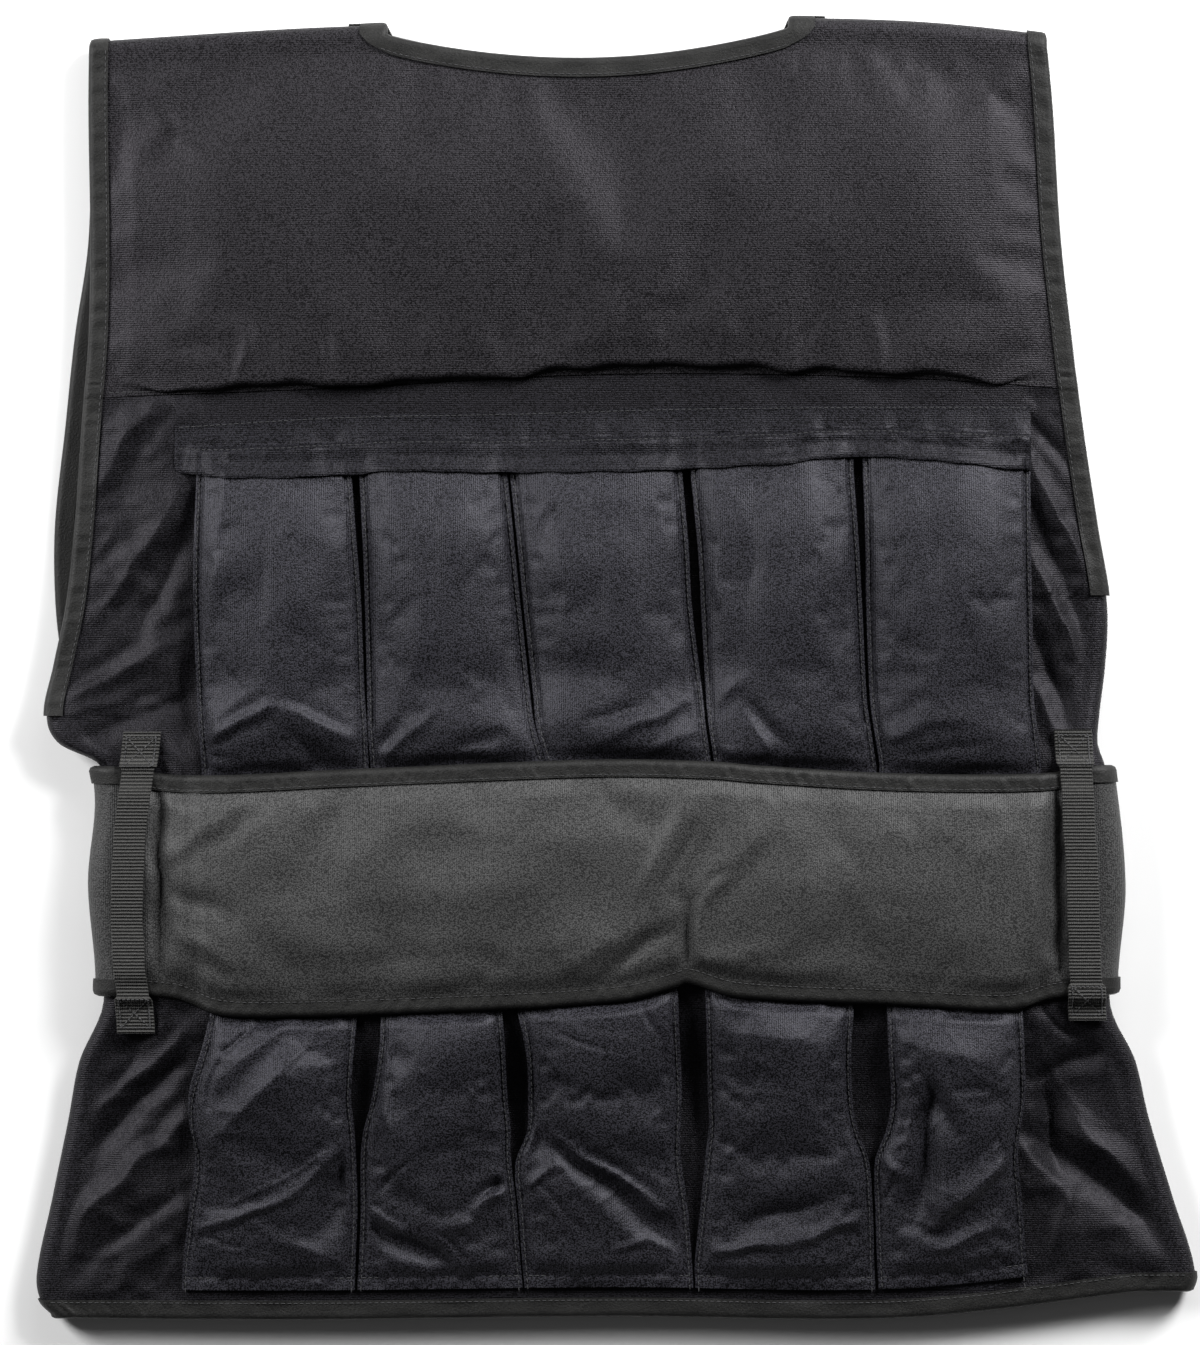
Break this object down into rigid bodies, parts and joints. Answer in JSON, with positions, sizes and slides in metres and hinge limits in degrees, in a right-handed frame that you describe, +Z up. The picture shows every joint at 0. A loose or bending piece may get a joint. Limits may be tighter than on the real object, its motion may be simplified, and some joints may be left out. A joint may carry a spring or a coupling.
{
  "type": "weighted vest",
  "caption": "Pullover weighted vest lying on its front: padded yoke, flap, two banks of filled pockets, wrap-round waist belt in webbing loops, taped neck, armholes and hem.",
  "frame": {"origin": "on the surface under the middle of the vest, as it lies on its front with its back up", "axes": "+Z up, out of the vest's back; +Y from the hem to the shoulders; +X to the right as the back is seen, which is the wearer's right"},
  "size_m": [0.5808, 0.653, 0.0401],
  "materials": {
    "shell_nylon": "black woven nylon, satin",
    "yoke_nylon": "black woven nylon over padding, satin",
    "pocket_nylon": "black ribbed nylon, satin",
    "belt_nylon": "charcoal woven nylon over padding",
    "binding_tape": "dark woven tape, matte",
    "webbing": "dark ribbed webbing, matte"
  },
  "bodies": {
    "root": {"back_panel": "shell_nylon", "yoke": "yoke_nylon", "front_panel": "shell_nylon", "pocket_upper_1": "pocket_nylon", "pocket_upper_2": "pocket_nylon", "pocket_upper_3": "pocket_nylon", "pocket_upper_4": "pocket_nylon", "pocket_upper_5": "pocket_nylon", "pocket_lower_1": "pocket_nylon", "pocket_lower_2": "pocket_nylon", "pocket_lower_3": "pocket_nylon", "pocket_lower_4": "pocket_nylon", "pocket_lower_5": "pocket_nylon", "pocket_flap": "pocket_nylon", "belt": "belt_nylon", "belt_binding_bottom": "binding_tape", "belt_binding_top": "binding_tape", "hem_binding": "binding_tape", "armhole_binding_left": "binding_tape", "armhole_binding_right": "binding_tape", "neck_binding": "binding_tape", "belt_loop_left": "webbing", "belt_loop_right": "webbing"}
  },
  "joints": []
}
